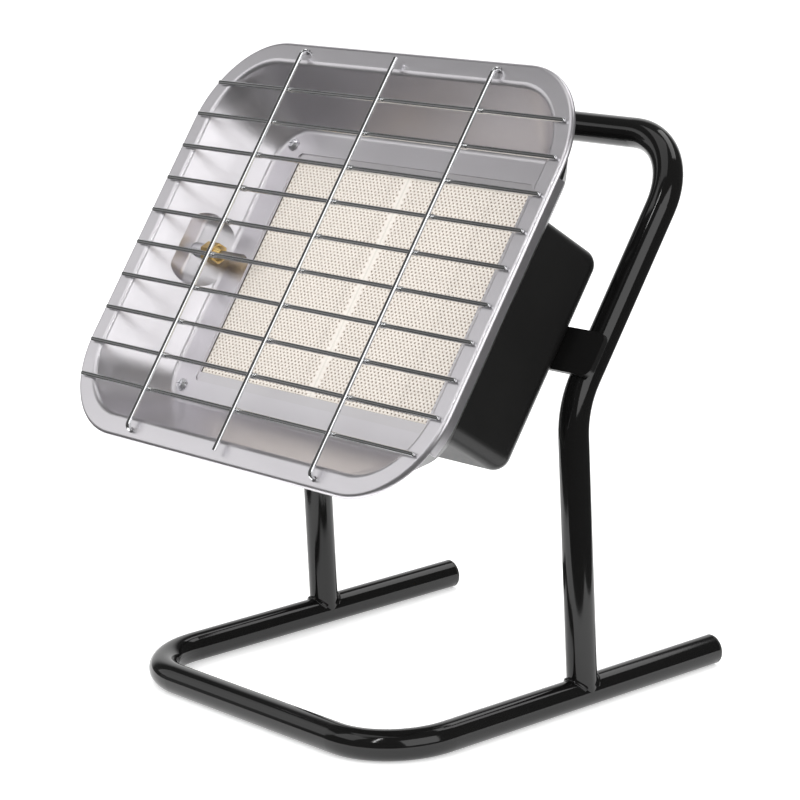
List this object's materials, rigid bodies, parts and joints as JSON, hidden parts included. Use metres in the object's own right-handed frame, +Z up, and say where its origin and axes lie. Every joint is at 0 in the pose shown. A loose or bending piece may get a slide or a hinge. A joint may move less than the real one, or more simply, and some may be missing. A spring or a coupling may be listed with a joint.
{
  "type": "gas radiant heater",
  "caption": "Portable gas radiant heater: perforated ceramic burner in a tilted reflector tray with a wire guard, on a bent-tube stand whose top loop is the handle.",
  "frame": {"origin": "centre of the bounding box on the floor, under the middle of the heater", "axes": "+X to the heater's right side seen from the front, +Y to its back, +Z up"},
  "size_m": [0.2972, 0.2448, 0.3329],
  "materials": {
    "tube_paint": "gloss black",
    "sheet_paint": "satin black",
    "plug_plastic": "matt black",
    "reflector_steel": "bright aluminised",
    "wire_chrome": "bright chrome",
    "burner_steel": "satin",
    "ceramic": "matt unglazed",
    "cement": "matt",
    "gasket_fibre": "matt",
    "zinc": "zinc plated",
    "brass": "bright",
    "copper": "drawn copper",
    "probe_steel": "heat-stained",
    "stem_steel": "ground",
    "seal_rubber": "matt",
    "button_plastic": "gloss black"
  },
  "bodies": {
    "heater": {"base_frame": "tube_paint", "handle_frame": "tube_paint", "upright_welds": "tube_paint", "strap_welds": "tube_paint", "cross_strap": "sheet_paint", "rear_pan": "sheet_paint", "rear_box": "sheet_paint", "base_end_plugs": "plug_plastic", "reflector_tray": "reflector_steel", "guard_cross_wires": "wire_chrome", "guard_long_wires": "wire_chrome", "plaque_frame": "burner_steel", "burner_plenum": "burner_steel", "diffuser_plate": "burner_steel", "mixing_tube": "burner_steel", "ceramic_plaque_left": "ceramic", "ceramic_plaque_right": "ceramic", "plaque_cement": "cement", "plaque_gasket": "gasket_fibre", "strap_bolts": "zinc", "strap_washers": "zinc", "burner_standoffs": "zinc", "tray_screws": "zinc", "tray_nuts": "zinc", "magnet_unit": "zinc", "thermocouple_bracket": "zinc", "thermocouple_spacer": "zinc", "injector_jet": "brass", "valve_body": "brass", "valve_neck_nut": "brass", "gas_inlet": "brass", "thermocouple_holder": "brass", "thermocouple_locknut": "brass", "lead_fitting": "brass", "thermocouple_lead": "copper", "thermocouple_probe": "probe_steel", "button_spring": "stem_steel", "inlet_washer": "seal_rubber"},
    "button": {"valve_button": "button_plastic", "button_stem": "stem_steel", "valve_disc": "seal_rubber"}
  },
  "joints": [
    {"name": "button_press", "type": "slide", "parent": "heater", "child": "button", "axis": [0, 0.5793, 0.8151], "range_m": [0, 0.004], "stiffness_N_per_m": 1000, "springref_m": -0.004, "deforming": ["button_spring"]}
  ]
}
